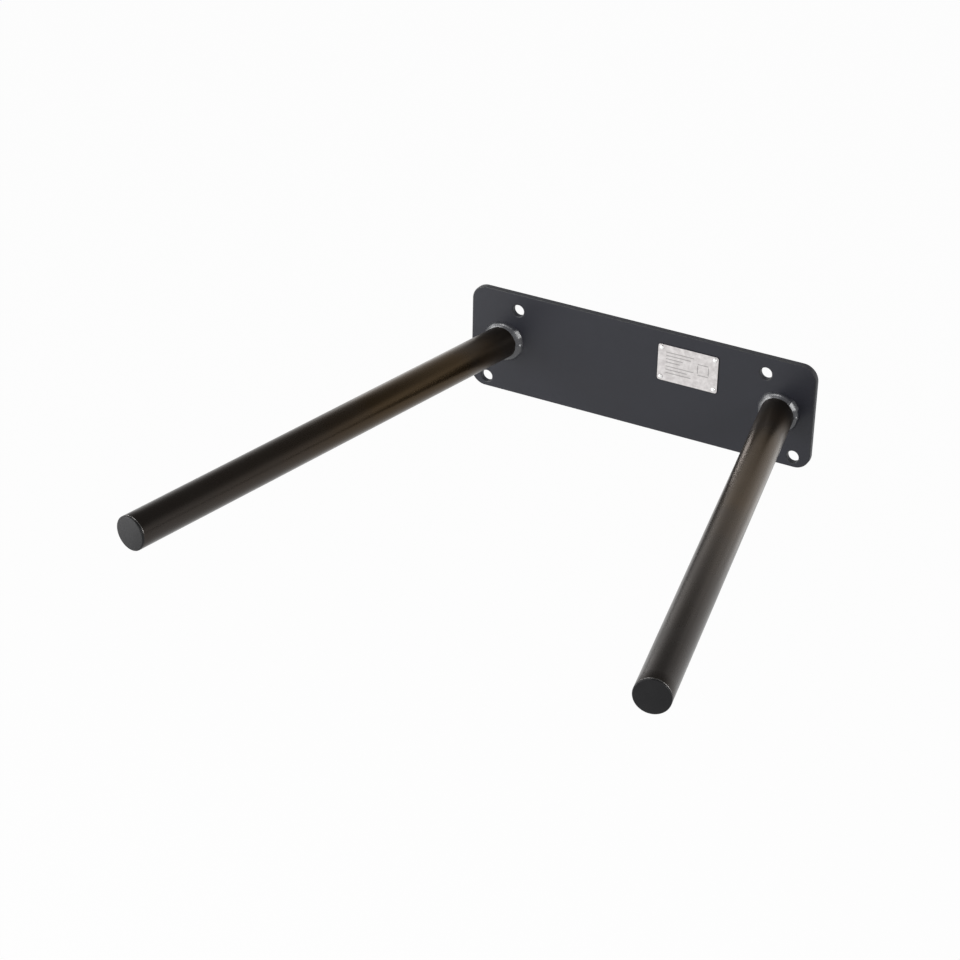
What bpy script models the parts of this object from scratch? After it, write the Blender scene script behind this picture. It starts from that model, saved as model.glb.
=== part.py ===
"""Wall-mounted dip station: a steel plate that bolts to a wall and two round bars that splay out from it.

Frame: metres, +Z up. The origin is the middle of the plate's wall face, the wall is towards +Y,
the bars stand out towards -Y and +X is on the right of someone who faces the wall.
"""

from math import cos, pi, radians, sin

import bmesh
import bpy

# Driving dimensions, in metres and radians

PLATE_WIDTH = 0.420
PLATE_HEIGHT = 0.125
PLATE_THICKNESS = 0.007
PLATE_CORNER_RADIUS = 0.018
PLATE_EDGE_RADIUS = 0.0007

BAR_INSET = 0.041  # from the plate's side edge to the bar's axis, on the plate's front face
BAR_HEIGHT = 0.0  # of the bar's axis above the plate's mid-height
BAR_REACH = 0.580  # along the axis, from the plate's front face to the outer face of the end cap
BAR_SPLAY = radians(11.75)  # outward, away from square to the wall
TUBE_DIAMETER = 0.038
TUBE_WALL = 0.003
TUBE_END_CHAMFER = 0.0004

WELD_LEG = 0.005
WELD_CROWN = 0.0006  # how far the bead's face stands out past the straight line between its toes

BOLT_HOLE_DIAMETER = 0.014
UPPER_HOLE_TO_BAR = 0.0175  # inboard of the bar's axis
UPPER_HOLE_TO_TOP = 0.0205
LOWER_HOLE_TO_SIDE = 0.020
LOWER_HOLE_TO_BOTTOM = 0.0125

CAP_FLANGE_THICKNESS = 0.003
CAP_RIM_RADIUS = 0.0013
CAP_STEM_WALL = 0.0022
CAP_STEM_TIP = 0.0016  # plain length past the last fin
CAP_FIN_COUNT = 4
CAP_FIN_HEIGHT = 0.0024
CAP_FIN_THICKNESS = 0.0012
CAP_FIN_PITCH = 0.0036

RATING_PLATE_WIDTH = 0.0725
RATING_PLATE_HEIGHT = 0.044
RATING_PLATE_THICKNESS = 0.0008
RATING_PLATE_CORNER_RADIUS = 0.003
RATING_PLATE_EDGE_RADIUS = 0.0002
RATING_PLATE_CENTRE_X = 0.060
RATING_PLATE_TO_TOP = 0.0155  # from the wall plate's top edge

RIVET_INSET = 0.0042
RIVET_HEAD_DIAMETER = 0.005
RIVET_HEAD_HEIGHT = 0.0013
RIVET_SHANK_DIAMETER = 0.0026
RIVET_REACH = 0.004  # of the shank into the wall plate
RIVET_TIP_CHAMFER = 0.0004

SEAT_GAP = 0.0003  # left between any two pieces that rest on or sit in each other

# Facets

BAR_SEGMENTS = 72
CAP_SEGMENTS = 40
HOLE_SEGMENTS = 28
RIVET_SEGMENTS = 16
DOME_SEGMENTS = 4
CORNER_SEGMENTS = 10
EDGE_SEGMENTS = 2
RIM_SEGMENTS = 3
WELD_FACE_SEGMENTS = 4
SHARP_ANGLE = radians(35)

# Dependent sizes

TUBE_RADIUS = TUBE_DIAMETER / 2
BORE_RADIUS = TUBE_RADIUS - TUBE_WALL
BAR_X = PLATE_WIDTH / 2 - BAR_INSET
TUBE_END = BAR_REACH - CAP_FLANGE_THICKNESS - SEAT_GAP
FIN_RADIUS = BORE_RADIUS - SEAT_GAP
STEM_RADIUS = FIN_RADIUS - CAP_FIN_HEIGHT
STEM_BORE_RADIUS = STEM_RADIUS - CAP_STEM_WALL
STEM_LENGTH = CAP_FIN_COUNT * CAP_FIN_PITCH + CAP_STEM_TIP
RIVET_HOLE_RADIUS = RIVET_SHANK_DIAMETER / 2 + SEAT_GAP
RATING_PLATE_CENTRE_Z = PLATE_HEIGHT / 2 - RATING_PLATE_TO_TOP - RATING_PLATE_HEIGHT / 2
RATING_PLATE_BACK = PLATE_THICKNESS + SEAT_GAP
RATING_PLATE_FRONT = RATING_PLATE_BACK + RATING_PLATE_THICKNESS
RIVET_SEAT = RATING_PLATE_FRONT + SEAT_GAP  # underside of a rivet's head, from the wall
RIVET_LENGTH = RIVET_SEAT - PLATE_THICKNESS + RIVET_REACH  # from the head's underside to the tip


# Scene and materials


def clear_scene():
    for obj in list(bpy.data.objects):
        bpy.data.objects.remove(obj, do_unlink=True)


def make_material(name, colour, roughness, metallic):
    material = bpy.data.materials.new(name)
    material.use_nodes = True
    shader = material.node_tree.nodes["Principled BSDF"]
    shader.inputs["Base Color"].default_value = (*colour, 1.0)
    shader.inputs["Roughness"].default_value = roughness
    shader.inputs["Metallic"].default_value = metallic
    return material


def finish_object(name, bm, material, parent=None):
    """Turns a bmesh into a named object with outward faces, smooth shading and sharp edges."""
    bmesh.ops.recalc_face_normals(bm, faces=bm.faces)
    mesh = bpy.data.meshes.new(name)
    bm.to_mesh(mesh)
    bm.free()
    mesh.shade_smooth()
    mesh.set_sharp_from_angle(angle=SHARP_ANGLE)
    mesh.materials.append(material)
    obj = bpy.data.objects.new(name, mesh)
    bpy.context.scene.collection.objects.link(obj)
    obj.parent = parent
    return obj


def make_empty(name, location, rotation):
    empty = bpy.data.objects.new(name, None)
    empty.location = location
    empty.rotation_euler = rotation
    bpy.context.scene.collection.objects.link(empty)
    return empty


# Outlines and ring stacks


def circle(radius, segments, centre=(0.0, 0.0)):
    """Points of a circle, counter-clockwise."""
    angles = [2 * pi * i / segments for i in range(segments)]
    return [(centre[0] + radius * cos(a), centre[1] + radius * sin(a)) for a in angles]


def rounded_rectangle(width, height, radius, centre=(0.0, 0.0)):
    """Points of a rectangle with arc corners, counter-clockwise from the lower right corner."""
    points = []
    for quarter, (side_x, side_y) in enumerate([(1, -1), (1, 1), (-1, 1), (-1, -1)]):
        corner_x = centre[0] + side_x * (width / 2 - radius)
        corner_y = centre[1] + side_y * (height / 2 - radius)
        for step in range(CORNER_SEGMENTS + 1):
            angle = (quarter - 1) * pi / 2 + step * pi / 2 / CORNER_SEGMENTS
            points.append((corner_x + radius * cos(angle), corner_y + radius * sin(angle)))
    return points


def add_ring(bm, points):
    """Adds a closed loop of edges through 3-D points and returns its vertices and edges."""
    vertices = [bm.verts.new(point) for point in points]
    edges = [bm.edges.new((vertices[i - 1], vertices[i])) for i in range(len(vertices))]
    return vertices, edges


def bridge_rings(bm, first, second):
    """Joins two rings of as many vertices with quads."""
    for i in range(len(first)):
        bm.faces.new((first[i - 1], first[i], second[i], second[i - 1]))


def edge_rounding(thickness, radius):
    """Pairs of inset and depth that round both edges of a slab, from its front to its back."""
    angles = [pi / 2 * i / EDGE_SEGMENTS for i in range(EDGE_SEGMENTS + 1)]
    front = [(radius * (1 - sin(a)), radius * (1 - cos(a))) for a in angles]
    back = [(inset, thickness - depth) for inset, depth in reversed(front)]
    return front + back


def rounded_slab(outline, holes, front, thickness, edge_radius):
    """A flat plate in the XZ plane, with every edge of its outline and of its holes rounded.

    outline takes an inset and returns points; each hole takes how much wider it is.
    front is how far the front face stands from the wall, and the plate reaches back towards +Y.
    """
    bm = bmesh.new()
    front_edges = []
    back_edges = []
    for make_points in [outline, *holes]:
        rings = []
        for inset, depth in edge_rounding(thickness, edge_radius):
            points = [(x, depth - front, z) for x, z in make_points(inset)]
            rings.append(add_ring(bm, points))
        for (first, _), (second, _) in zip(rings, rings[1:]):
            bridge_rings(bm, first, second)
        front_edges += rings[0][1]
        back_edges += rings[-1][1]
    for edges in (front_edges, back_edges):
        bmesh.ops.triangle_fill(bm, edges=edges, use_beauty=True)
    return bm


def turned(profile, segments):
    """A solid turned about Z from points (radius, height); a radius of 0 is a point on the axis."""
    bm = bmesh.new()
    rings = []
    for radius, height in profile:
        if radius == 0:
            rings.append([bm.verts.new((0, 0, height))])
        else:
            points = [(x, y, height) for x, y in circle(radius, segments)]
            rings.append(add_ring(bm, points)[0])
    for first, second in zip(rings, rings[1:]):
        if len(first) == 1 or len(second) == 1:
            pole, ring = (first[0], second) if len(first) == 1 else (second[0], first)
            for i in range(len(ring)):
                bm.faces.new((pole, ring[i - 1], ring[i]))
        else:
            bridge_rings(bm, first, second)
    return bm


# Wall plate


def bolt_hole_centres():
    upper_x = BAR_X - UPPER_HOLE_TO_BAR
    upper_z = PLATE_HEIGHT / 2 - UPPER_HOLE_TO_TOP
    lower_x = PLATE_WIDTH / 2 - LOWER_HOLE_TO_SIDE
    lower_z = LOWER_HOLE_TO_BOTTOM - PLATE_HEIGHT / 2
    return [(side * x, z) for x, z in ((upper_x, upper_z), (lower_x, lower_z)) for side in (-1, 1)]


def rivet_centres():
    """Upper left, upper right, lower left and lower right, seen from the front."""
    reach_x = RATING_PLATE_WIDTH / 2 - RIVET_INSET
    reach_z = RATING_PLATE_HEIGHT / 2 - RIVET_INSET
    return [
        (RATING_PLATE_CENTRE_X + side_x * reach_x, RATING_PLATE_CENTRE_Z + side_z * reach_z)
        for side_z in (1, -1)
        for side_x in (-1, 1)
    ]


def round_hole(centre, radius, segments):
    """A hole outline that widens towards the plate's faces, where its edge is rounded."""
    return lambda inset: circle(radius + inset, segments, centre)


def build_wall_plate(material):
    def outline(inset):
        width = PLATE_WIDTH - 2 * inset
        height = PLATE_HEIGHT - 2 * inset
        return rounded_rectangle(width, height, PLATE_CORNER_RADIUS - inset)

    bolt_radius = BOLT_HOLE_DIAMETER / 2
    holes = [round_hole(centre, bolt_radius, HOLE_SEGMENTS) for centre in bolt_hole_centres()]
    holes += [round_hole(centre, RIVET_HOLE_RADIUS, RIVET_SEGMENTS) for centre in rivet_centres()]
    bm = rounded_slab(outline, holes, PLATE_THICKNESS, PLATE_THICKNESS, PLATE_EDGE_RADIUS)
    return finish_object("wall_plate", bm, material)


# Bars: each bar's parts are modelled along local +Z, from the plate's front face outward


def foot_height(x, height, splay):
    """Local Z of a point at local x that lies at a given height above the plate's front face."""
    return (height + x * sin(splay)) / cos(splay)


def build_tube(name, parent, material, splay):
    """A round tube, mitred at its foot to lie flat on the plate and cut square at its free end."""
    bm = bmesh.new()

    def foot_ring(radius, height):
        points = circle(radius, BAR_SEGMENTS)
        return add_ring(bm, [(x, y, foot_height(x, height, splay)) for x, y in points])[0]

    def square_ring(radius, z):
        return add_ring(bm, [(x, y, z) for x, y in circle(radius, BAR_SEGMENTS)])[0]

    rings = [
        foot_ring(BORE_RADIUS, SEAT_GAP),
        foot_ring(TUBE_RADIUS, SEAT_GAP),
        square_ring(TUBE_RADIUS, TUBE_END - TUBE_END_CHAMFER),
        square_ring(TUBE_RADIUS - TUBE_END_CHAMFER, TUBE_END),
        square_ring(BORE_RADIUS + TUBE_END_CHAMFER, TUBE_END),
        square_ring(BORE_RADIUS, TUBE_END - TUBE_END_CHAMFER),
    ]
    for i in range(len(rings)):
        bridge_rings(bm, rings[i - 1], rings[i])
    return finish_object(name, bm, material, parent)


def weld_profile():
    """Points (distance from the tube, height above the plate) round the bead's section."""
    points = [(SEAT_GAP, SEAT_GAP)]
    for i in range(WELD_FACE_SEGMENTS + 1):
        share = i / WELD_FACE_SEGMENTS
        crown = WELD_CROWN * sin(pi * share)
        out = WELD_LEG * (1 - share) + SEAT_GAP + crown
        up = WELD_LEG * share + SEAT_GAP + crown
        points.append((out, up))
    return points


def build_weld(name, parent, material, splay):
    """A fillet bead in the corner between the tube's foot and the plate."""
    bm = bmesh.new()
    rings = []
    for out, up in weld_profile():
        points = circle(TUBE_RADIUS + out, BAR_SEGMENTS)
        rings.append(add_ring(bm, [(x, y, foot_height(x, up, splay)) for x, y in points])[0])
    for i in range(len(rings)):
        bridge_rings(bm, rings[i - 1], rings[i])
    return finish_object(name, bm, material, parent)


def cap_profile():
    """A flange with a rounded rim, and a hollow stem with fins that grip the tube's bore."""
    points = [(0, BAR_REACH)]
    for i in range(RIM_SEGMENTS + 1):
        angle = pi / 2 * i / RIM_SEGMENTS
        radius = TUBE_RADIUS - CAP_RIM_RADIUS * (1 - sin(angle))
        points.append((radius, BAR_REACH - CAP_RIM_RADIUS * (1 - cos(angle))))
    flange_back = BAR_REACH - CAP_FLANGE_THICKNESS
    points += [(TUBE_RADIUS, flange_back), (STEM_RADIUS, flange_back)]
    for fin in range(CAP_FIN_COUNT):
        near = flange_back - (fin + 1) * CAP_FIN_PITCH + CAP_FIN_THICKNESS
        far = near - CAP_FIN_THICKNESS
        points += [(STEM_RADIUS, near), (FIN_RADIUS, near), (FIN_RADIUS, far), (STEM_RADIUS, far)]
    stem_end = flange_back - STEM_LENGTH
    points += [(STEM_RADIUS, stem_end), (STEM_BORE_RADIUS, stem_end)]
    points += [(STEM_BORE_RADIUS, flange_back), (0, flange_back)]
    return points


def build_end_cap(name, parent, material):
    return finish_object(name, turned(cap_profile(), CAP_SEGMENTS), material, parent)


def build_bar(side_name, side, tube_material, weld_material, cap_material):
    splay = side * BAR_SPLAY
    foot = (side * BAR_X, -PLATE_THICKNESS, BAR_HEIGHT)
    frame = make_empty(f"{side_name}_bar_frame", foot, (pi / 2, 0, splay))
    build_tube(f"{side_name}_bar_tube", frame, tube_material, splay)
    build_weld(f"{side_name}_weld_bead", frame, weld_material, splay)
    build_end_cap(f"{side_name}_end_cap", frame, cap_material)


# Rating plate and its rivets


def build_rating_plate(material):
    centre = (RATING_PLATE_CENTRE_X, RATING_PLATE_CENTRE_Z)

    def outline(inset):
        width = RATING_PLATE_WIDTH - 2 * inset
        height = RATING_PLATE_HEIGHT - 2 * inset
        return rounded_rectangle(width, height, RATING_PLATE_CORNER_RADIUS - inset, centre)

    holes = [round_hole(spot, RIVET_HOLE_RADIUS, RIVET_SEGMENTS) for spot in rivet_centres()]
    front = RATING_PLATE_FRONT
    bm = rounded_slab(outline, holes, front, RATING_PLATE_THICKNESS, RATING_PLATE_EDGE_RADIUS)
    return finish_object("rating_plate", bm, material)


def rivet_profile():
    """A low dome head above a plain shank; the head's underside is at height 0."""
    head_radius = RIVET_HEAD_DIAMETER / 2
    shank_radius = RIVET_SHANK_DIAMETER / 2
    points = [(0, RIVET_HEAD_HEIGHT)]
    for i in range(1, DOME_SEGMENTS + 1):
        angle = pi / 2 * i / DOME_SEGMENTS
        points.append((head_radius * sin(angle), RIVET_HEAD_HEIGHT * cos(angle)))
    points += [
        (shank_radius, 0),
        (shank_radius, RIVET_TIP_CHAMFER - RIVET_LENGTH),
        (shank_radius - RIVET_TIP_CHAMFER, -RIVET_LENGTH),
        (0, -RIVET_LENGTH),
    ]
    return points


def build_rivets(material):
    for number, (x, z) in enumerate(rivet_centres(), start=1):
        bm = turned(rivet_profile(), RIVET_SEGMENTS)
        rivet = finish_object(f"rating_plate_rivet_{number}", bm, material)
        rivet.location = (x, -RIVET_SEAT, z)
        rivet.rotation_euler = (pi / 2, 0, 0)


def main():
    clear_scene()
    coated_steel = make_material("coated_steel", (0.045, 0.047, 0.053), 0.42, 0.0)
    bar_coat = make_material("bar_coat", (0.028, 0.025, 0.022), 0.30, 0.0)
    cap_plastic = make_material("cap_plastic", (0.040, 0.040, 0.042), 0.50, 0.0)
    plain_aluminium = make_material("plain_aluminium", (0.52, 0.51, 0.50), 0.38, 0.9)
    bright_rivet = make_material("bright_rivet", (0.78, 0.78, 0.77), 0.25, 1.0)

    build_wall_plate(coated_steel)
    for side_name, side in (("left", -1), ("right", 1)):
        build_bar(side_name, side, bar_coat, coated_steel, cap_plastic)
    build_rating_plate(plain_aluminium)
    build_rivets(bright_rivet)


main()
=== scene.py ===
"""Wall-mounted dip station: the finished look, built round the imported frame.

Frame: metres, +Z up. The origin is the middle of the plate's wall face, the wall is towards +Y,
the bars stand out towards -Y and +X is on the right of someone who faces the wall.
"""

from math import cos, exp, pi, radians, sin

import bmesh
import bpy
from mathutils import Matrix, Vector, noise


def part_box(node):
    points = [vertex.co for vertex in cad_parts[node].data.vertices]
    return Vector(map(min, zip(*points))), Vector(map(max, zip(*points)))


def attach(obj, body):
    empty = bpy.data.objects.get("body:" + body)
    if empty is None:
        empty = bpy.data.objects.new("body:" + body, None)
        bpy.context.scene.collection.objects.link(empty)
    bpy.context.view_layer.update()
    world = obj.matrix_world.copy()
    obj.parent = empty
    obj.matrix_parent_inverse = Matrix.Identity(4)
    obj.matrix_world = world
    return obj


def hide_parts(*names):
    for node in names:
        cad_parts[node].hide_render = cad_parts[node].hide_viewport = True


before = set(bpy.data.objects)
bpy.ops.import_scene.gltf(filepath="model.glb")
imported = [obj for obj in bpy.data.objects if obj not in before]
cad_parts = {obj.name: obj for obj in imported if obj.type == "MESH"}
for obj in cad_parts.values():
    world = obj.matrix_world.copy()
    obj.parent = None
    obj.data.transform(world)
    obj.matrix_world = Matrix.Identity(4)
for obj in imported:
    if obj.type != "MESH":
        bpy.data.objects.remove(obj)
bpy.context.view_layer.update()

# Sizes that the frame gives

PLATE_LOW, PLATE_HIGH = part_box("wall_plate")
PLATE_WIDTH, PLATE_THICKNESS, PLATE_HEIGHT = PLATE_HIGH - PLATE_LOW
LABEL_LOW, LABEL_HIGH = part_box("rating_plate")
LABEL_WIDTH, LABEL_THICKNESS, LABEL_HEIGHT = LABEL_HIGH - LABEL_LOW
LABEL_X = (LABEL_LOW.x + LABEL_HIGH.x) / 2
LABEL_Z = (LABEL_LOW.z + LABEL_HIGH.z) / 2
TUBE_LOW, TUBE_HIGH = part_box("right_bar_tube")
TUBE_RADIUS = (TUBE_HIGH.z - TUBE_LOW.z) / 2
RIVET_NODES = [f"rating_plate_rivet_{number}" for number in range(1, 5)]
RIVET_BOXES = {node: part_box(node) for node in RIVET_NODES}

# Sizes that the frame's boxes don't give, as the solid model has them

PLATE_CORNER_RADIUS = 0.018
BAR_X = 0.169  # of the bar's axis, on the plate's front face
BAR_REACH = 0.580  # along the axis, from the plate's front face to the outer face of the end cap
BAR_SPLAY = radians(11.75)
TUBE_WALL = 0.003
WELD_LEG = 0.0053  # with the gap beside it
BOLT_HOLE_DIAMETER = 0.014
BOLT_HOLE_CENTRES = [(-0.1515, 0.042), (0.1515, 0.042), (-0.190, -0.050), (0.190, -0.050)]
CAP_FLANGE_THICKNESS = 0.003
CAP_RIM_RADIUS = 0.0013
CAP_STEM_RADIUS = 0.0133
CAP_STEM_WALL = 0.0022
CAP_STEM_TIP = 0.0016
CAP_FIN_COUNT = 4
CAP_FIN_THICKNESS = 0.0012
CAP_FIN_PITCH = 0.0036
LABEL_CORNER_RADIUS = 0.003
LABEL_EDGE_RADIUS = 0.0002
RIVET_HEAD_HEIGHT = 0.0013
RIVET_SHANK_RADIUS = 0.0013
RIVET_TIP_CHAMFER = 0.0004
SEAT_GAP = 0.0003
BORE_RADIUS = TUBE_RADIUS - TUBE_WALL
CAP_FIN_RADIUS = BORE_RADIUS - SEAT_GAP
RIVET_HOLE_RADIUS = RIVET_SHANK_RADIUS + SEAT_GAP
TUBE_END = BAR_REACH - CAP_FLANGE_THICKNESS - SEAT_GAP

# Finer shape, which the solid model leaves out or has simpler or smaller

PLATE_EDGE_RADIUS = 0.0011
TUBE_END_RADIUS = 0.0007
CORNER_SEGMENTS = 28
LABEL_CORNER_SEGMENTS = 12
EDGE_SEGMENTS = 4
EDGE_WEAR_START = 0.35  # of the wear on an edge, where its rounding begins
SUPPORT = 0.0006  # flat strip beside each rounded edge, which keeps the faces' shading flat
LABEL_SUPPORT = 0.0003
HOLE_SEGMENTS = 56
RIVET_HOLE_SEGMENTS = 28
BAR_SEGMENTS = 144
BAR_RINGS = 40
CAP_SEGMENTS = 112
RIM_SEGMENTS = 6
CAP_CROWN = 0.0009  # how much the cap's face stands out in its middle
CROWN_RINGS = 8
WELD_SEGMENTS = 480
WELD_FACE_SEGMENTS = 14
WELD_EMBED = 0.00005  # how far the bead's toes run into the tube and the plate
WELD_CROWN = 0.0007
WELD_RIPPLE_COUNT = 46
WELD_RIPPLE_DEPTH = 0.00004
WELD_RIPPLE_BOW = 1.1  # how far a ripple bows across the bead
WELD_RIPPLE_POWER = 0.8  # the lower, the sharper the valleys between the ripples
WELD_RIPPLE_SHIFT = 0.6  # of the ripples' depth, how far their valleys lie below the crown
WELD_UNEVENNESS = 0.35  # of the ripples' spacing
WELD_UNEVENNESS_PACE = 5  # the higher, the quicker it changes round the tube
WELD_WANDER = 0.0007  # slow change of the bead's width
WELD_WANDER_PACE = 2.2
WELD_LUMP = (radians(-2), radians(6), 0.0010)  # angle round the tube, width and height
WELD_LUMP_IN_CROWN = 0.5
WELD_LUMP_IN_LEG = 0.6
WELD_FACETS = {
    "left": (radians(36), radians(13), 0.0004),  # flat spot: middle, half width, how far it stands out
    "right": (radians(37), radians(16), 0.0009),
}
WELD_FACET_END = 1.35  # in half widths from its middle, where a flat spot has faded out
WELD_FACET_FADE = 0.75  # in half widths
WELD_FACET_FLATNESS = 0.85
WELD_FACET_CROWN_LOSS = 0.6
RIVET_SEGMENTS = 40
DOME_SEGMENTS = 10
SHARP_ANGLE = radians(38)

# The label's ruled lines, (left end, height, length) from its middle, and its empty field

LABEL_LINES = [
    (-0.0265, 0.0135, 0.034),
    (-0.0265, 0.0095, 0.030),
    (-0.0265, 0.0055, 0.0205),
    (-0.0265, 0.0015, 0.017),
    (-0.0265, -0.0035, 0.034),
    (-0.0265, -0.0075, 0.026),
    (-0.0265, -0.0115, 0.031),
]
LABEL_LINE_WIDTH = 0.0012
LABEL_LINE_DEPTH = 0.00006
LABEL_LINE_WALL = 0.00005  # how much a line's floor is smaller than its mouth, on each side
LABEL_LINE_END = 0.49  # of a line's width, the radius of its ends
LABEL_LINE_END_SEGMENTS = 4
LABEL_FIELD_X = 0.0185
LABEL_FIELD_Z = 0.0015
LABEL_FIELD_SIZE = 0.013
LABEL_FIELD_GAP = 2.5  # in line widths, how much shorter the upright sides are

# Rings and faces


def circle(radius, segments, centre=(0.0, 0.0)):
    """Points of a circle, counter-clockwise."""
    angles = [2 * pi * i / segments for i in range(segments)]
    return [(centre[0] + radius * cos(a), centre[1] + radius * sin(a)) for a in angles]


def rounded_rectangle(width, height, radius, centre=(0.0, 0.0), segments=CORNER_SEGMENTS):
    """Points of a rectangle with arc corners, counter-clockwise from the lower right corner."""
    points = []
    for quarter, (side_x, side_y) in enumerate([(1, -1), (1, 1), (-1, 1), (-1, -1)]):
        corner_x = centre[0] + side_x * (width / 2 - radius)
        corner_y = centre[1] + side_y * (height / 2 - radius)
        for step in range(segments + 1):
            angle = (quarter - 1) * pi / 2 + step * pi / 2 / segments
            points.append((corner_x + radius * cos(angle), corner_y + radius * sin(angle)))
    return points


def add_ring(bm, points, layers=(), values=()):
    """Adds a closed loop of edges through 3-D points; values fill the vertices' layers."""
    vertices = [bm.verts.new(point) for point in points]
    edges = [bm.edges.new((vertices[i - 1], vertices[i])) for i in range(len(vertices))]
    for layer, value in zip(layers, values):
        for vertex in vertices:
            vertex[layer] = value
    return vertices, edges


def bridge_rings(bm, first, second):
    """Joins two rings of as many vertices with quads."""
    for i in range(len(first)):
        bm.faces.new((first[i - 1], first[i], second[i], second[i - 1]))


def edge_rounding(thickness, radius, support):
    """Rings (inset, depth, edge, side) round both edges of a slab, from its front to its back.

    edge is 1 in the middle of the rounding and 0 past its support strip; side is 1 on the
    slab's narrow face.
    """
    rings = [(radius + support, 0.0, 0.0, 0.0)]
    for i in range(EDGE_SEGMENTS + 1):
        angle = pi / 2 * i / EDGE_SEGMENTS
        edge = EDGE_WEAR_START + (1 - EDGE_WEAR_START) * sin(2 * angle)
        rings.append((radius * (1 - sin(angle)), radius * (1 - cos(angle)), edge, sin(angle)))
    rings.append((0.0, radius + support, 0.0, 1.0))
    back = [(inset, thickness - depth, edge, side) for inset, depth, edge, side in reversed(rings)]
    return rings + back


def rounded_slab(outline, holes, front, thickness, radius, support, recesses=()):
    """A flat plate in the XZ plane, with every edge of its outline and of its holes rounded.

    outline takes an inset and returns points; each hole takes how much wider it is.
    recesses are (points of the mouth, points of the floor, depth), sunk into the front face.
    """
    bm = bmesh.new()
    layers = [bm.verts.layers.float.new(name) for name in ("edge", "side", "etched")]
    front_edges = []
    back_edges = []
    for make_points in [outline, *holes]:
        rings = []
        for inset, depth, edge, side in edge_rounding(thickness, radius, support):
            points = [(x, depth - front, z) for x, z in make_points(inset)]
            rings.append(add_ring(bm, points, layers, (edge, side, 0.0)))
        for (first, _), (second, _) in zip(rings, rings[1:]):
            bridge_rings(bm, first, second)
        front_edges += rings[0][1]
        back_edges += rings[-1][1]
    for mouth, floor, depth in recesses:
        front_edges += add_recess(bm, layers, mouth, floor, front, depth)
    for edges in (front_edges, back_edges):
        bmesh.ops.triangle_fill(bm, edges=edges, use_beauty=True)
    return bm


def add_recess(bm, layers, mouth, floor, front, depth):
    """Sinks a shape into the face at y = -front and returns the edges of its mouth."""
    mouth_points = [(x, -front, z) for x, z in mouth]
    floor_points = [(x, depth - front, z) for x, z in floor]
    mouth_ring, mouth_edges = add_ring(bm, mouth_points, layers, (0.0, 0.0, 0.0))
    floor_ring, floor_edges = add_ring(bm, floor_points, layers, (0.0, 0.0, 1.0))
    bridge_rings(bm, mouth_ring, floor_ring)
    bmesh.ops.triangle_fill(bm, edges=floor_edges, use_beauty=True)
    return mouth_edges


def turned(profile, segments):
    """A solid turned about Z from points (radius, height); a radius of 0 is a point on the axis."""
    bm = bmesh.new()
    rings = []
    for radius, height in profile:
        if radius == 0:
            rings.append([bm.verts.new((0, 0, height))])
        else:
            points = [(x, y, height) for x, y in circle(radius, segments)]
            rings.append(add_ring(bm, points)[0])
    for first, second in zip(rings, rings[1:]):
        if len(first) == 1 or len(second) == 1:
            pole, ring = (first[0], second) if len(first) == 1 else (second[0], first)
            for i in range(len(ring)):
                bm.faces.new((pole, ring[i - 1], ring[i]))
        else:
            bridge_rings(bm, first, second)
    return bm


def add_object(name, data):
    """A new object at the origin, in the scene."""
    added = bpy.data.objects.new(name, data)
    bpy.context.scene.collection.objects.link(added)
    return added


def finish_piece(name, bm, material, node, placement=None):
    """Turns a bmesh into a piece that stands for a node of the frame.

    Each vertex keeps the place it was modelled at, before placement, for its material to use.
    """
    bmesh.ops.recalc_face_normals(bm, faces=bm.faces)
    place = bm.verts.layers.float_vector.new("place")
    for vertex in bm.verts:
        vertex[place] = vertex.co
    if placement is not None:
        bm.transform(placement)
    mesh = bpy.data.meshes.new(name)
    bm.to_mesh(mesh)
    bm.free()
    mesh.shade_smooth()
    mesh.set_sharp_from_angle(angle=SHARP_ANGLE)
    mesh.materials.append(material)
    piece = add_object(name, mesh)
    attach(piece, "root")
    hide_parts(node)


# Wall plate


def round_hole(centre, radius, segments):
    """A hole outline that widens towards the plate's faces, where its edge is rounded."""
    return lambda inset: circle(radius + inset, segments, centre)


def rivet_holes():
    """The holes that the rivets' shanks go through, in the label and in the plate."""
    spots = [((low.x + high.x) / 2, (low.z + high.z) / 2) for low, high in RIVET_BOXES.values()]
    return [round_hole(spot, RIVET_HOLE_RADIUS, RIVET_HOLE_SEGMENTS) for spot in spots]


def build_wall_plate(material):
    centre = ((PLATE_LOW.x + PLATE_HIGH.x) / 2, (PLATE_LOW.z + PLATE_HIGH.z) / 2)

    def outline(inset):
        width = PLATE_WIDTH - 2 * inset
        height = PLATE_HEIGHT - 2 * inset
        return rounded_rectangle(width, height, PLATE_CORNER_RADIUS - inset, centre)

    bolt_radius = BOLT_HOLE_DIAMETER / 2
    holes = [round_hole(spot, bolt_radius, HOLE_SEGMENTS) for spot in BOLT_HOLE_CENTRES]
    holes += rivet_holes()
    bm = rounded_slab(outline, holes, -PLATE_LOW.y, PLATE_THICKNESS, PLATE_EDGE_RADIUS, SUPPORT)
    finish_piece("plate_finish", bm, material, "wall_plate")


# Bars: each bar's parts are modelled along local +Z, from the plate's front face outward


def bar_placement(side):
    """Matrix from a bar's own frame, +Z along its axis, to the object's frame."""
    foot = Matrix.Translation((side * BAR_X, -PLATE_THICKNESS, 0.0))
    upright = Matrix.Rotation(pi / 2, 4, "X")
    splayed = Matrix.Rotation(side * BAR_SPLAY, 4, "Z")
    return foot @ splayed @ upright


def foot_height(x, height, splay):
    """Local Z of a point at local x that lies at a given height above the plate's front face."""
    return (height + x * sin(splay)) / cos(splay)


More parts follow.
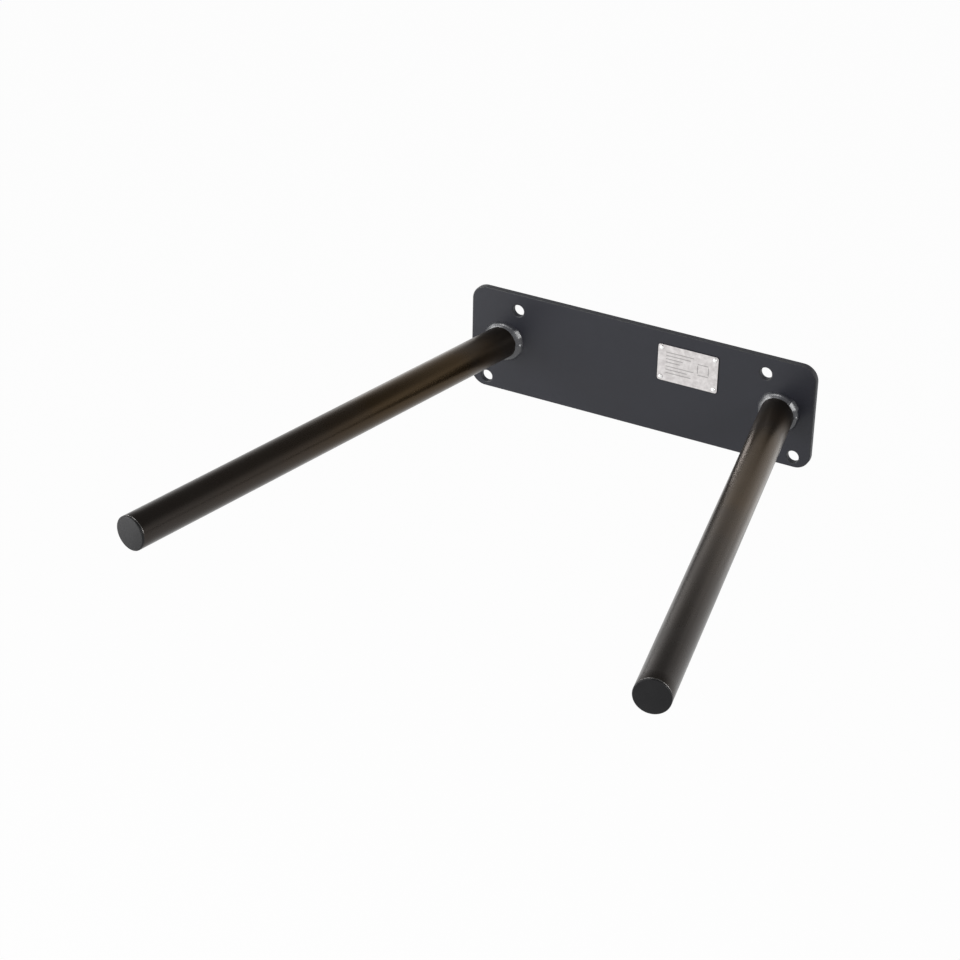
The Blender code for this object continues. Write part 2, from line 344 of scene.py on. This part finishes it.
def build_tube(side_name, side, material):
    splay = side * BAR_SPLAY
    bm = bmesh.new()

    def blended_ring(radius, share):
        """A ring that is parallel to the plate at the foot and square to the axis at the end."""
        straight_end = TUBE_END - TUBE_END_RADIUS
        points = []
        for x, y in circle(radius, BAR_SEGMENTS):
            foot = foot_height(x, SEAT_GAP, splay)
            points.append((x, y, foot + (straight_end - foot) * share))
        return add_ring(bm, points)[0]

    def end_rings():
        """The tube's square end, its outer and inner corners rounded."""
        rings = []
        for i in range(1, EDGE_SEGMENTS + 1):
            angle = pi / 2 * i / EDGE_SEGMENTS
            radius = TUBE_RADIUS - TUBE_END_RADIUS * (1 - cos(angle))
            height = TUBE_END - TUBE_END_RADIUS * (1 - sin(angle))
            rings.append((radius, height))
        inner = [(TUBE_RADIUS + BORE_RADIUS - radius, height) for radius, height in reversed(rings)]
        return [
            add_ring(bm, [(x, y, height) for x, y in circle(radius, BAR_SEGMENTS)])[0]
            for radius, height in rings + inner
        ]

    shares = [i / BAR_RINGS for i in range(BAR_RINGS + 1)]
    rings = [blended_ring(TUBE_RADIUS, share) for share in shares]
    rings += end_rings()
    rings += [blended_ring(BORE_RADIUS, share) for share in reversed(shares)]
    for i in range(len(rings)):
        bridge_rings(bm, rings[i - 1], rings[i])
    node = f"{side_name}_bar_tube"
    finish_piece(f"{side_name}_tube_finish", bm, material, node, bar_placement(side))


def turn_from(angle, centre):
    """The angle from a centre, between -pi and pi."""
    return (angle - centre + pi) % (2 * pi) - pi


def round_noise(angle, pace, seed):
    """Smooth noise that closes on itself after a turn."""
    return noise.noise(Vector((pace * cos(angle), pace * sin(angle), seed)))


def weld_shape(angle, share, side_name, seed):
    """Outward and upward reach of the bead's face at an angle round the tube.

    share runs from 0 at the plate's toe to 1 at the tube's toe.
    """
    wander = round_noise(angle, WELD_WANDER_PACE, seed) * WELD_WANDER
    unevenness = WELD_UNEVENNESS * round_noise(angle, WELD_UNEVENNESS_PACE, seed + 3)
    crescent = WELD_RIPPLE_BOW * (share - 0.5) ** 2
    phase = angle / (2 * pi) * WELD_RIPPLE_COUNT + crescent + unevenness
    ripple = abs(sin(pi * phase)) ** WELD_RIPPLE_POWER - WELD_RIPPLE_SHIFT
    centre, spread, height = WELD_LUMP
    lump = height * exp(-((turn_from(angle, centre) / spread) ** 2))
    crown = WELD_CROWN + WELD_LUMP_IN_CROWN * lump + WELD_RIPPLE_DEPTH * ripple
    leg = WELD_LEG + wander + WELD_LUMP_IN_LEG * lump
    centre, half_width, height = WELD_FACETS[side_name]
    turn = turn_from(angle, centre)
    flat = min(max((WELD_FACET_END - abs(turn) / half_width) / WELD_FACET_FADE, 0.0), 1.0)
    flat = WELD_FACET_FLATNESS * flat * flat * (3 - 2 * flat)
    reach = TUBE_RADIUS + WELD_LEG + height
    leg_out = leg + flat * (reach / cos(turn) - TUBE_RADIUS - leg)
    leg_up = leg + flat * (reach - TUBE_RADIUS * cos(turn) - leg)
    crown *= sin(pi * share) * (1 - WELD_FACET_CROWN_LOSS * flat)
    return leg_out * (1 - share) + crown, leg_up * share + crown


def build_weld(side_name, side, material):
    splay = side * BAR_SPLAY
    bm = bmesh.new()
    columns = []
    for i in range(WELD_SEGMENTS):
        angle = 2 * pi * i / WELD_SEGMENTS
        section = [(-WELD_EMBED, -WELD_EMBED)]
        for j in range(WELD_FACE_SEGMENTS + 1):
            out, up = weld_shape(angle, j / WELD_FACE_SEGMENTS, side_name, 10.0 * side)
            if j == 0:
                up = -WELD_EMBED
            if j == WELD_FACE_SEGMENTS:
                out = -WELD_EMBED
            section.append((out, up))
        column = []
        for out, up in section:
            x = (TUBE_RADIUS + out) * cos(angle)
            y = (TUBE_RADIUS + out) * sin(angle)
            column.append(bm.verts.new((x, y, foot_height(x, up, splay))))
        columns.append(column)
    for i in range(WELD_SEGMENTS):
        first, second = columns[i - 1], columns[i]
        for j in range(len(first)):
            bm.faces.new((first[j - 1], first[j], second[j], second[j - 1]))
    node = f"{side_name}_weld_bead"
    finish_piece(f"{side_name}_weld_finish", bm, material, node, bar_placement(side))


def cap_profile():
    """A slightly crowned face with a rounded rim, and a hollow stem with fins."""
    points = [(0, BAR_REACH)]
    face_radius = TUBE_RADIUS - CAP_RIM_RADIUS
    for i in range(1, CROWN_RINGS + 1):
        share = i / CROWN_RINGS
        points.append((face_radius * share, BAR_REACH - CAP_CROWN * share ** 2))
    rim_top = BAR_REACH - CAP_CROWN
    for i in range(1, RIM_SEGMENTS + 1):
        angle = pi / 2 * i / RIM_SEGMENTS
        radius = TUBE_RADIUS - CAP_RIM_RADIUS * (1 - sin(angle))
        points.append((radius, rim_top - CAP_RIM_RADIUS * (1 - cos(angle))))
    flange_back = BAR_REACH - CAP_FLANGE_THICKNESS
    points += [(TUBE_RADIUS, flange_back), (CAP_STEM_RADIUS, flange_back)]
    for fin in range(CAP_FIN_COUNT):
        far = flange_back - (fin + 1) * CAP_FIN_PITCH
        near = far + CAP_FIN_THICKNESS
        points += [(CAP_STEM_RADIUS, near), (CAP_FIN_RADIUS, near)]
        points += [(CAP_FIN_RADIUS, far), (CAP_STEM_RADIUS, far)]
    stem_end = flange_back - CAP_FIN_COUNT * CAP_FIN_PITCH - CAP_STEM_TIP
    stem_bore = CAP_STEM_RADIUS - CAP_STEM_WALL
    points += [(CAP_STEM_RADIUS, stem_end), (stem_bore, stem_end), (stem_bore, flange_back), (0, flange_back)]
    return points


def build_cap(side_name, side, material):
    bm = turned(cap_profile(), CAP_SEGMENTS)
    node = f"{side_name}_end_cap"
    finish_piece(f"{side_name}_cap_finish", bm, material, node, bar_placement(side))


# Rating plate and its rivets


def stroke(width, height, centre):
    """Points of a short bar with round ends."""
    radius = LABEL_LINE_END * min(width, height)
    return rounded_rectangle(width, height, radius, centre, LABEL_LINE_END_SEGMENTS)


def etched_bar(width, height, x, z):
    """An etched stroke, as a recess of the label's face; x and z are its middle."""
    centre = (LABEL_X + x, LABEL_Z + z)
    mouth = stroke(width, height, centre)
    floor = stroke(width - 2 * LABEL_LINE_WALL, height - 2 * LABEL_LINE_WALL, centre)
    return mouth, floor, LABEL_LINE_DEPTH


def label_recesses():
    """Etched ruled lines and an empty square, such as a blank form has."""
    recesses = []
    for left, height, length in LABEL_LINES:
        recesses.append(etched_bar(length, LABEL_LINE_WIDTH, left + length / 2, height))
    half = LABEL_FIELD_SIZE / 2
    upright = LABEL_FIELD_SIZE - LABEL_FIELD_GAP * LABEL_LINE_WIDTH
    for side in (-1, 1):
        x = LABEL_FIELD_X + side * half
        z = LABEL_FIELD_Z + side * half
        recesses.append(etched_bar(LABEL_FIELD_SIZE, LABEL_LINE_WIDTH, LABEL_FIELD_X, z))
        recesses.append(etched_bar(LABEL_LINE_WIDTH, upright, x, LABEL_FIELD_Z))
    return recesses


def build_label(material):
    def outline(inset):
        width = LABEL_WIDTH - 2 * inset
        height = LABEL_HEIGHT - 2 * inset
        radius = LABEL_CORNER_RADIUS - inset
        return rounded_rectangle(width, height, radius, (LABEL_X, LABEL_Z), LABEL_CORNER_SEGMENTS)

    sizes = (-LABEL_LOW.y, LABEL_THICKNESS, LABEL_EDGE_RADIUS, LABEL_SUPPORT)
    bm = rounded_slab(outline, rivet_holes(), *sizes, label_recesses())
    finish_piece("label_finish", bm, material, "rating_plate")


def rivet_profile(head_radius, length):
    """A dome head above a plain shank; the head's underside is at height 0."""
    points = [(0, RIVET_HEAD_HEIGHT)]
    for i in range(1, DOME_SEGMENTS + 1):
        angle = pi / 2 * i / DOME_SEGMENTS
        points.append((head_radius * sin(angle), RIVET_HEAD_HEIGHT * cos(angle)))
    points += [
        (RIVET_SHANK_RADIUS, 0),
        (RIVET_SHANK_RADIUS, RIVET_TIP_CHAMFER - length),
        (RIVET_SHANK_RADIUS - RIVET_TIP_CHAMFER, -length),
        (0, -length),
    ]
    return points


def build_rivets(material):
    for number, (node, (low, high)) in enumerate(RIVET_BOXES.items(), start=1):
        length = high.y - low.y - RIVET_HEAD_HEIGHT
        bm = turned(rivet_profile((high.x - low.x) / 2, length), RIVET_SEGMENTS)
        seat = Vector(((low.x + high.x) / 2, low.y + RIVET_HEAD_HEIGHT, (low.z + high.z) / 2))
        placement = Matrix.Translation(seat) @ Matrix.Rotation(pi / 2, 4, "X")
        finish_piece(f"rivet_finish_{number}", bm, material, node, placement)


# Shader nodes


def feed(tree, source, socket):
    """Gives a socket a number, or links another socket to it."""
    if isinstance(source, (int, float)):
        socket.default_value = source
    else:
        tree.links.new(source, socket)


def add_math(tree, operation, *sources):
    node = tree.nodes.new("ShaderNodeMath")
    node.operation = operation
    for source, socket in zip(sources, node.inputs):
        feed(tree, source, socket)
    return node.outputs["Value"]


def add_remap(tree, value, low, high, to_low, to_high):
    node = tree.nodes.new("ShaderNodeMapRange")
    feed(tree, value, node.inputs["Value"])
    names = ("From Min", "From Max", "To Min", "To Max")
    for name, number in zip(names, (low, high, to_low, to_high)):
        node.inputs[name].default_value = number
    return node.outputs["Result"]


def mix_shaders(tree, factor, first, second):
    node = tree.nodes.new("ShaderNodeMixShader")
    for source, socket in zip((factor, first, second), node.inputs):
        feed(tree, source, socket)
    return node.outputs["Shader"]


class Shading:
    """A material's node tree, with short calls for the nodes that these finishes use.

    Its coordinates are the places that the piece's vertices were modelled at, in metres.
    """

    def __init__(self, name):
        self.material = bpy.data.materials.new(name)
        self.material.use_nodes = True
        self.tree = self.material.node_tree
        self.shader = self.tree.nodes["Principled BSDF"]
        self.coords = self.attribute("place", "Vector")

    def link(self, source, socket):
        feed(self.tree, source, socket)

    def attribute(self, name, output="Fac"):
        node = self.tree.nodes.new("ShaderNodeAttribute")
        node.attribute_name = name
        return node.outputs[output]

    def stretched(self, scale):
        """The coordinates scaled by three factors."""
        mapping = self.tree.nodes.new("ShaderNodeMapping")
        mapping.inputs["Scale"].default_value = scale
        self.link(self.coords, mapping.inputs["Vector"])
        return mapping.outputs["Vector"]

    def noise(self, scale, detail=2.0, rough=0.5, vector=None):
        node = self.tree.nodes.new("ShaderNodeTexNoise")
        node.inputs["Scale"].default_value = scale
        node.inputs["Detail"].default_value = detail
        node.inputs["Roughness"].default_value = rough
        self.link(vector or self.coords, node.inputs["Vector"])
        return node.outputs["Fac"]

    def axis(self, name):
        """One of the coordinates."""
        node = self.tree.nodes.new("ShaderNodeSeparateXYZ")
        self.link(self.coords, node.inputs["Vector"])
        return node.outputs[name]

    def remap(self, value, low, high, to_low, to_high):
        return add_remap(self.tree, value, low, high, to_low, to_high)

    def math(self, operation, first, second):
        return add_math(self.tree, operation, first, second)

    def ramp(self, factor, stops):
        """A colour ramp; stops are (position, colour)."""
        node = self.tree.nodes.new("ShaderNodeValToRGB")
        elements = node.color_ramp.elements
        while len(elements) < len(stops):
            elements.new(0.5)
        for element, (position, colour) in zip(elements, stops):
            element.position = position
            element.color = (*colour, 1.0)
        self.link(factor, node.inputs["Fac"])
        return node.outputs["Color"]

    def mix(self, factor, first, second):
        """Mixes two colours; each is a socket or three numbers."""
        node = self.tree.nodes.new("ShaderNodeMix")
        node.data_type = "RGBA"
        self.link(factor, node.inputs["Factor"])
        for name, colour in (("A", first), ("B", second)):
            socket = [s for s in node.inputs if s.name == name and s.type == "RGBA"][0]
            if isinstance(colour, tuple):
                socket.default_value = (*colour, 1.0)
            else:
                self.link(colour, socket)
        return [s for s in node.outputs if s.type == "RGBA"][0]

    def bump(self, height, distance, below=None):
        node = self.tree.nodes.new("ShaderNodeBump")
        node.inputs["Strength"].default_value = 1.0
        node.inputs["Distance"].default_value = distance
        self.link(height, node.inputs["Height"])
        if below is not None:
            self.link(below, node.inputs["Normal"])
        return node.outputs["Normal"]

    def finish(self, colour, roughness, normal, metallic=0.0, specular=0.5):
        self.link(colour, self.shader.inputs["Base Color"])
        self.link(roughness, self.shader.inputs["Roughness"])
        self.link(normal, self.shader.inputs["Normal"])
        self.shader.inputs["Metallic"].default_value = metallic
        self.shader.inputs["Specular IOR Level"].default_value = specular
        return self.material


# Finishes

PLATE_COLOUR = (0.0175, 0.0185, 0.0255)
PLATE_COLOUR_DEEP = (0.0148, 0.0156, 0.0215)
PLATE_EDGE_COLOUR = (0.030, 0.030, 0.029)


def plate_coat(name):
    """Satin powder coat: orange peel, fine grain, slow changes of sheen and thin coat on edges."""
    s = Shading(name)
    cloud = s.noise(16, 4)
    grain = s.noise(3200, 1)
    peel = s.noise(430, 2, 0.45)
    colour = s.mix(s.remap(cloud, 0.35, 0.65, 0, 1), PLATE_COLOUR, PLATE_COLOUR_DEEP)
    colour = s.mix(s.remap(grain, 0.62, 0.75, 0, 0.3), colour, PLATE_EDGE_COLOUR)
    worn = s.math("MULTIPLY", s.attribute("edge"), s.remap(s.noise(260, 3, 0.6), 0.40, 0.62, 0.15, 1.0))
    colour = s.mix(worn, colour, PLATE_EDGE_COLOUR)
    roughness = s.math("ADD", s.remap(cloud, 0.3, 0.7, 0.30, 0.38), s.remap(peel, 0.3, 0.7, -0.03, 0.03))
    roughness = s.math("ADD", roughness, s.remap(s.attribute("side"), 0, 1, 0, 0.16))
    cut = s.math("MULTIPLY", s.attribute("side"), s.noise(900, 2, 0.5, s.stretched((1.0, 0.06, 1.0))))
    normal = s.bump(peel, 0.00006)
    normal = s.bump(grain, 0.000010, below=normal)
    normal = s.bump(cut, 0.00012, below=normal)
    return s.finish(colour, roughness, normal, specular=0.36)


def weld_coat(name):
    """The plate's coat where it runs glossier over the weld bead, with spatter grain."""
    s = Shading(name)
    cloud = s.noise(180, 3)
    spatter = s.noise(950, 2, 0.6)
    colour = s.mix(s.remap(cloud, 0.35, 0.65, 0, 1), PLATE_COLOUR, PLATE_COLOUR_DEEP)
    colour = s.mix(s.remap(spatter, 0.60, 0.72, 0, 0.5), colour, PLATE_EDGE_COLOUR)
    roughness = s.math("ADD", s.remap(cloud, 0.3, 0.7, 0.24, 0.32), s.remap(spatter, 0.3, 0.7, -0.02, 0.04))
    normal = s.bump(spatter, 0.000012)
    return s.finish(colour, roughness, normal, specular=1.0)


# Painted reflection: a warm brown in the coat's colour, brownest near the wall, stands in for warm
# surroundings seen in its sheen
BAR_REFLECTION_BROWN = (0.0552, 0.0316, 0.0087)
BAR_BLACK = (0.0341, 0.0329, 0.0341)
BAR_DARK = (0.0248, 0.0211, 0.0186)
# Share of the bar's length from the wall, and how strongly the painted warm reflection browns it there
BAR_PAINTED_REFLECTION = [(0.03, 0.30), (0.15, 0.80), (0.35, 0.80), (0.57, 0.42), (0.95, 0.22)]
# Bare metal where the coat is worn at the tube's end, lightened as a painted highlight along that edge
BAR_WEAR_AND_GLINT = (0.21, 0.205, 0.20)
BAR_WEAR_START = 1.5  # in radii of the rounded end, from the tube's end
BAR_WEAR_FULL = 0.5
BAR_FOOT_DULLNESS = 0.16  # added roughness at the wall
BAR_FOOT = (0.03, 0.085)  # places along the bar, between which that fades
# Mostly metallic, so that the painted brown tints the coat's reflections
BAR_METALLIC = 0.85


def bar_coat(name):
    """Semi-gloss black coat with a painted warm reflection, brownest in the third next to the wall, and worn
    in places at its end, lightened there as a painted highlight.
    """
    s = Shading(name)
    along = s.axis("Z")
    drawn = s.noise(700, 2, 0.5, s.stretched((1.0, 1.0, 0.012)))
    cloud = s.noise(22, 4)
    peel = s.noise(520, 2, 0.45)
    patchy = s.math("ADD", along, s.remap(cloud, 0.3, 0.7, -0.03, 0.03))
    black = Vector(BAR_BLACK)
    reflection_brown = Vector(BAR_REFLECTION_BROWN)
    # the painted warm reflection, as a ramp along the bar
    stops = [(place, tuple(black.lerp(reflection_brown, strength))) for place, strength in BAR_PAINTED_REFLECTION]
    colour = s.ramp(s.remap(patchy, 0.0, BAR_REACH, 0, 1), stops)
    colour = s.mix(s.remap(drawn, 0.35, 0.65, 0, 0.08), colour, BAR_DARK)
    wear_start = TUBE_END - BAR_WEAR_START * TUBE_END_RADIUS
    wear_full = TUBE_END - BAR_WEAR_FULL * TUBE_END_RADIUS
    end = s.remap(along, wear_start, wear_full, 0, 1)
    # wear at the tube's end, which also paints the highlight along that edge
    worn = s.math("MULTIPLY", end, s.remap(s.noise(60, 2), 0.46, 0.56, 0.1, 1.0))
    colour = s.mix(worn, colour, BAR_WEAR_AND_GLINT)
    roughness = s.math("ADD", s.remap(cloud, 0.3, 0.7, 0.24, 0.30), s.remap(drawn, 0.3, 0.7, -0.008, 0.008))
    roughness = s.math("ADD", roughness, s.remap(along, *BAR_FOOT, BAR_FOOT_DULLNESS, 0.0))
    normal = s.bump(peel, 0.00002)
    normal = s.bump(drawn, 0.000001, below=normal)
    return s.finish(colour, roughness, normal, metallic=BAR_METALLIC)


CAP_BLACK = (0.0095, 0.0095, 0.0105)
CAP_PALE = (0.0130, 0.0130, 0.0140)


def cap_plastic(name):
    """Moulded plastic with a fine spark-eroded texture."""
    s = Shading(name)
    texture = s.noise(1900, 2, 0.6)
    cloud = s.noise(60, 3)
    colour = s.mix(s.remap(cloud, 0.3, 0.7, 0, 1), CAP_BLACK, CAP_PALE)
    roughness = s.math("ADD", s.remap(cloud, 0.3, 0.7, 0.36, 0.44), s.remap(texture, 0.3, 0.7, -0.05, 0.05))
    normal = s.bump(texture, 0.00005)
    return s.finish(colour, roughness, normal, specular=0.20)


SHEET_DULL = (0.54, 0.515, 0.51)
SHEET_BRIGHT = (0.76, 0.735, 0.73)
SHEET_BRUSHED = (0.49, 0.465, 0.46)
SHEET_ETCHED = (0.20, 0.195, 0.19)
# Painted shade on the label's narrow side
SHEET_SIDE_SHADE = (0.03, 0.03, 0.03)
ETCH_STRENGTH = 0.6


def brushed_aluminium(name):
    """Thin sheet, brushed lengthwise, with darker etched lines and its narrow side darkened as painted shade.
    """
    s = Shading(name)
    brushed = s.noise(2600, 3, 0.6, s.stretched((0.02, 1.0, 1.0)))
    cloud = s.noise(210, 4, 0.6)
    colour = s.mix(s.remap(cloud, 0.32, 0.68, 0, 1), SHEET_DULL, SHEET_BRIGHT)
    colour = s.mix(s.remap(brushed, 0.3, 0.7, 0, 0.5), colour, SHEET_BRUSHED)
    colour = s.mix(s.math("MULTIPLY", s.attribute("etched"), ETCH_STRENGTH), colour, SHEET_ETCHED)
    # painted shade: the narrow side darkened
    colour = s.mix(s.attribute("side"), colour, SHEET_SIDE_SHADE)
    roughness = s.math("ADD", s.remap(brushed, 0.3, 0.7, 0.34, 0.44), s.remap(cloud, 0.3, 0.7, -0.04, 0.04))
    normal = s.bump(s.noise(130, 2), 0.00012)
    normal = s.bump(brushed, 0.00002, below=normal)
    return s.finish(colour, roughness, normal, metallic=0.9)


RIVET_BRIGHT = (0.90, 0.90, 0.89)
RIVET_MARKED = (0.82, 0.82, 0.81)


def bright_rivet(name):
    """Polished aluminium with fine marks."""
    s = Shading(name)
    marks = s.noise(2400, 2)
    colour = s.mix(s.remap(marks, 0.3, 0.7, 0, 1), RIVET_BRIGHT, RIVET_MARKED)
    roughness = s.remap(marks, 0.3, 0.7, 0.30, 0.40)
    normal = s.bump(marks, 0.00001)
    return s.finish(colour, roughness, normal, metallic=1.0)


# Studio

FLOOR_DROP = 1.30  # of the floor below the object's middle, about where such a plate is mounted
FLOOR_SIZE = 30.0
FLOOR_COLOUR = (0.82, 0.82, 0.82, 1.0)
FLOOR_ROUGHNESS = 0.9
WHITE = (1.0, 1.0, 1.0, 1.0)
WHITE_SHARE = 0.975  # of how floor and backdrop look; the rest is their own tone, light and shadow
CEILING_WHITE_SHARE = 0.18  # of how the ceiling looks in reflections
BACKDROP_TONE = (0.435, 0.435, 0.447, 1.0)  # of the light from the horizon and below
CEILING_TONE = (0.006, 0.004, 0.002, 1.0)
BACKDROP_TOP = 0.02  # heights of direction between which the backdrop gives way to the ceiling
CEILING_START = 0.60
CAMERA_AZIMUTH = radians(28.0357)
CAMERA_ELEVATION = radians(29.5288)
CAMERA_ROLL = radians(1.1654)
CAMERA_DISTANCE = 2.83404
CAMERA_TARGET = Vector((-0.06642, -0.250, -0.03375))
CAMERA_LENS = 100.386
SENSOR_WIDTH = 36.0

# White lamps: name, azimuth and elevation in degrees, distance, width, height, radiance

SOFTBOXES = [
    ("softbox_upper_left", -42, 49, 2.4, 1.1, 1.1, 5.5),
    ("softbox_top_front", 8, 54, 2.4, 1.2, 0.7, 1.5),
    ("softbox_low_left", -53, -3, 2.2, 0.9, 1.9, 2.4),
    ("softbox_left_front", -43, 3, 2.4, 1.0, 0.9, 7.0),
    ("softbox_left", -74, 24, 2.4, 1.0, 1.0, 4.5),
    ("softbox_camera_right", 60, 22, 2.6, 1.2, 0.8, 8.6),
]

# White elliptic lamps behind the plate's plane, aimed at -Y: name, place, width, height, radiance

GLOWS = [
    ("glow_above", (0.02, 0.12, 0.24), 0.85, 0.20, 0.60),
    ("glow_right", (0.34, 0.12, 0.08), 0.26, 0.20, 0.36),
    ("glow_low_right", (0.33, 0.50, -0.24), 0.32, 0.34, 0.52),
    ("glow_left", (-0.40, 0.12, 0.09), 0.30, 0.28, 0.55),
]
GLOW_TARGET_Y = -1.0


def direction(azimuth, elevation):
    """Unit vector from the object towards an azimuth, 0 in front and 90 at +X, and an elevation."""
    return Vector((sin(azimuth) * cos(elevation), -cos(azimuth) * cos(elevation), sin(elevation)))


def build_camera():
    back = direction(CAMERA_AZIMUTH, CAMERA_ELEVATION)
    right = Vector((cos(CAMERA_AZIMUTH), sin(CAMERA_AZIMUTH), 0.0))
    up = back.cross(right)
    rolled_right = right * cos(CAMERA_ROLL) + up * sin(CAMERA_ROLL)
    rolled_up = up * cos(CAMERA_ROLL) - right * sin(CAMERA_ROLL)
    data = bpy.data.cameras.new("photo_camera")
    data.lens = CAMERA_LENS
    data.sensor_width = SENSOR_WIDTH
    camera = add_object("photo_camera", data)
    axes = Matrix((rolled_right, rolled_up, back)).transposed()
    camera.matrix_world = Matrix.Translation(CAMERA_TARGET + back * CAMERA_DISTANCE) @ axes.to_4x4()
    bpy.context.scene.camera = camera


def white_share(tree, reflected_share):
    """How much of plain white a ray sees: WHITE_SHARE for the camera, a given share in reflections."""
    path = tree.nodes.new("ShaderNodeLightPath")
    glossy = path.outputs["Is Glossy Ray"]
    transmitted = path.outputs["Is Transmission Ray"]
    reflected = add_math(tree, "MAXIMUM", glossy, transmitted)
    dimmed = add_math(tree, "MULTIPLY", reflected, reflected_share)
    return add_math(tree, "MULTIPLY_ADD", path.outputs["Is Camera Ray"], WHITE_SHARE, dimmed)


def floor_material():
    """A pale floor that looks white to the camera and in reflections, and is clear from below."""
    material = bpy.data.materials.new("floor")
    material.use_nodes = True
    tree = material.node_tree
    shader = tree.nodes["Principled BSDF"]
    shader.inputs["Base Color"].default_value = FLOOR_COLOUR
    shader.inputs["Roughness"].default_value = FLOOR_ROUGHNESS
    glow = tree.nodes.new("ShaderNodeEmission")
    clear = tree.nodes.new("ShaderNodeBsdfTransparent")
    geometry = tree.nodes.new("ShaderNodeNewGeometry")
    share = white_share(tree, WHITE_SHARE)
    top = mix_shaders(tree, share, shader.outputs["BSDF"], glow.outputs["Emission"])
    floor = mix_shaders(tree, geometry.outputs["Backfacing"], top, clear.outputs["BSDF"])
    tree.links.new(floor, tree.nodes["Material Output"].inputs["Surface"])
    return material


def build_floor():
    half = FLOOR_SIZE / 2
    corners = [(x, y, -FLOOR_DROP) for x, y in ((-half, -half), (half, -half), (half, half), (-half, half))]
    mesh = bpy.data.meshes.new("floor")
    mesh.from_pydata(corners, [], [(0, 1, 2, 3)])
    mesh.materials.append(floor_material())
    floor = add_object("floor", mesh)


def build_world():
    """White for the camera, and a white backdrop under a darker ceiling in reflections.

    The light from it is that of a grey backdrop under a near black ceiling.
    """
    world = bpy.data.worlds.new("studio")
    bpy.context.scene.world = world
    world.use_nodes = True
    tree = world.node_tree
    tree.nodes.clear()
    output = tree.nodes.new("ShaderNodeOutputWorld")
    coords = tree.nodes.new("ShaderNodeTexCoord")
    split = tree.nodes.new("ShaderNodeSeparateXYZ")
    tree.links.new(coords.outputs["Generated"], split.inputs["Vector"])
    ramp = tree.nodes.new("ShaderNodeValToRGB")
    lower, upper = ramp.color_ramp.elements
    lower.position = BACKDROP_TOP
    lower.color = BACKDROP_TONE
    upper.position = CEILING_START
    upper.color = CEILING_TONE
    tree.links.new(split.outputs["Z"], ramp.inputs["Fac"])
    room = tree.nodes.new("ShaderNodeBackground")
    tree.links.new(ramp.outputs["Color"], room.inputs["Color"])
    white = tree.nodes.new("ShaderNodeBackground")
    white.inputs["Color"].default_value = WHITE
    fade = add_remap(
        tree, split.outputs["Z"], BACKDROP_TOP, CEILING_START, WHITE_SHARE, CEILING_WHITE_SHARE)
    share = white_share(tree, fade)
    studio = mix_shaders(tree, share, room.outputs["Background"], white.outputs["Background"])
    tree.links.new(studio, output.inputs["Surface"])


def add_lamp(name, place, target, width, height, radiance, shape):
    """An area lamp that the camera doesn't see, aimed from a place at a target."""
    area = width * height * (pi / 4 if shape == "ELLIPSE" else 1.0)
    data = bpy.data.lights.new(name, "AREA")
    data.shape = shape
    data.size = width
    data.size_y = height
    data.energy = radiance * pi * area
    light = add_object(name, data)
    light.visible_camera = False
    light.location = place
    light.rotation_mode = "QUATERNION"
    light.rotation_quaternion = (Vector(place) - Vector(target)).to_track_quat("Z", "Y")


def build_lights():
    for name, azimuth, elevation, distance, width, height, radiance in SOFTBOXES:
        place = CAMERA_TARGET + direction(radians(azimuth), radians(elevation)) * distance
        add_lamp(name, place, CAMERA_TARGET, width, height, radiance, "RECTANGLE")
    for name, place, width, height, radiance in GLOWS:
        target = (place[0], GLOW_TARGET_Y, place[2])
        add_lamp(name, place, target, width, height, radiance, "ELLIPSE")


def main():
    bpy.context.scene.view_settings.view_transform = "Standard"
    build_camera()
    build_world()
    build_floor()
    build_lights()
    build_wall_plate(plate_coat("plate_coat"))
    weld_paint = weld_coat("weld_coat")
    bar_paint = bar_coat("bar_coat")
    plastic = cap_plastic("cap_plastic")
    for side_name, side in (("left", -1), ("right", 1)):
        build_tube(side_name, side, bar_paint)
        build_weld(side_name, side, weld_paint)
        build_cap(side_name, side, plastic)
    build_label(brushed_aluminium("brushed_aluminium"))
    build_rivets(bright_rivet("bright_rivet"))


main()
